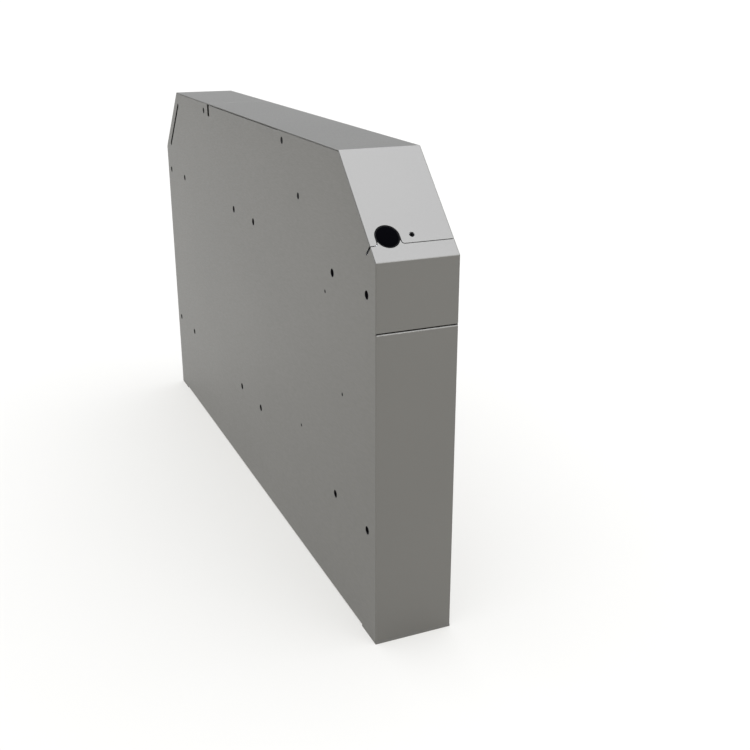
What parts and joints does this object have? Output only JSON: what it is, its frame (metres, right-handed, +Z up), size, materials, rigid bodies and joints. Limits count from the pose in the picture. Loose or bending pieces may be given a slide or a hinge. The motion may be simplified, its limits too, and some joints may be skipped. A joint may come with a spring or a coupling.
{
  "type": "visitor counter turnstile",
  "caption": "Barrier-free lane cabinet in folded sheet steel with sloped ends, beam sensors in one side, a round sloped reader window and a long hinged service lid.",
  "frame": {"origin": "centre of the footprint, on the floor", "axes": "+Z up, +Y from the reader end to the rear end, +X to the plain side away from the lane"},
  "size_m": [0.174, 1.72, 1],
  "materials": {
    "cabinet_steel": "fine-grained satin stainless sheet",
    "galvanised_sheet": "galvanised sheet steel, dull",
    "zinc_plated": "bright zinc plate",
    "black_fittings": "black moulded plastic and black-finished screws",
    "smoked_acrylic": "dark infrared-pass acrylic, polished",
    "rubber_seal": "soft foam rubber",
    "circuit_board": "green solder resist",
    "perforated_case": "perforated aluminium case",
    "light_grey_plastic": "light grey moulded plastic",
    "brass_stud": "plain brass"
  },
  "bodies": {
    "cabinet": {"floor_plates": "cabinet_steel", "base_frame": "galvanised_sheet", "corner_posts": "galvanised_sheet", "left_side_skin": "cabinet_steel", "right_side_skin": "cabinet_steel", "front_lower_cover": "cabinet_steel", "front_upper_cover": "cabinet_steel", "rear_lower_cover": "cabinet_steel", "rear_hood": "cabinet_steel", "cover_clips": "zinc_plated", "strike_plate": "galvanised_sheet", "lid_gaskets": "rubber_seal", "lid_rails": "galvanised_sheet", "hinge_rail": "galvanised_sheet", "hinge_ears": "galvanised_sheet", "hinge_pin": "zinc_plated", "upper_sensor_channel": "galvanised_sheet", "lower_sensor_channel": "galvanised_sheet", "upper_sensor_bodies": "black_fittings", "lower_sensor_bodies": "black_fittings", "sensor_lenses": "smoked_acrylic", "sensor_locknuts": "zinc_plated", "blanking_plugs": "black_fittings", "beeper": "black_fittings", "side_screws": "black_fittings", "plate_spacers": "zinc_plated", "plate_screws": "zinc_plated", "equipment_plate": "galvanised_sheet", "board_spacers": "zinc_plated", "controller_board": "circuit_board", "board_components": "black_fittings", "power_supply": "perforated_case", "power_supply_terminals": "black_fittings", "din_rail": "zinc_plated", "terminal_blocks": "light_grey_plastic", "circuit_breaker": "light_grey_plastic", "reader_window": "smoked_acrylic", "reader_housing": "black_fittings", "reader_board": "circuit_board", "reader_bracket": "galvanised_sheet", "status_diffuser": "smoked_acrylic", "status_light_board": "circuit_board", "status_light_housing": "galvanised_sheet", "gland_plate": "galvanised_sheet", "cable_glands": "black_fittings", "earth_stud": "brass_stud"},
    "lid": {"service_lid": "cabinet_steel", "lid_stiffener": "galvanised_sheet", "lid_knuckles": "galvanised_sheet", "lock_housing": "zinc_plated", "prop_bracket": "zinc_plated", "prop_clip": "zinc_plated"},
    "lock": {"lock_plug": "black_fittings", "lock_cam": "zinc_plated", "lock_cam_screw": "zinc_plated"},
    "prop": {"prop_rod": "zinc_plated", "prop_foot": "rubber_seal"},
    "toggle": {"breaker_toggle": "black_fittings"}
  },
  "joints": [
    {"name": "lid_hinge", "type": "hinge", "parent": "cabinet", "child": "lid", "pos_m": [0, 0.297, 0.995], "axis": [-1, 0, 0], "range_deg": [0, 60]},
    {"name": "lock_turn", "type": "hinge", "parent": "lid", "child": "lock", "pos_m": [0.0032, -0.8216, 0.8574], "axis": [0, 0.7071, -0.7071], "range_deg": [0, 90]},
    {"name": "prop_swing", "type": "hinge", "parent": "lid", "child": "prop", "pos_m": [0.062, -0.023, 0.991], "axis": [1, 0, 0], "range_deg": [0, 130]},
    {"name": "breaker_toggle", "type": "hinge", "parent": "cabinet", "child": "toggle", "pos_m": [0.038, -0.52125, 0.42], "axis": [0, 1, 0], "range_deg": [0, 60]}
  ]
}
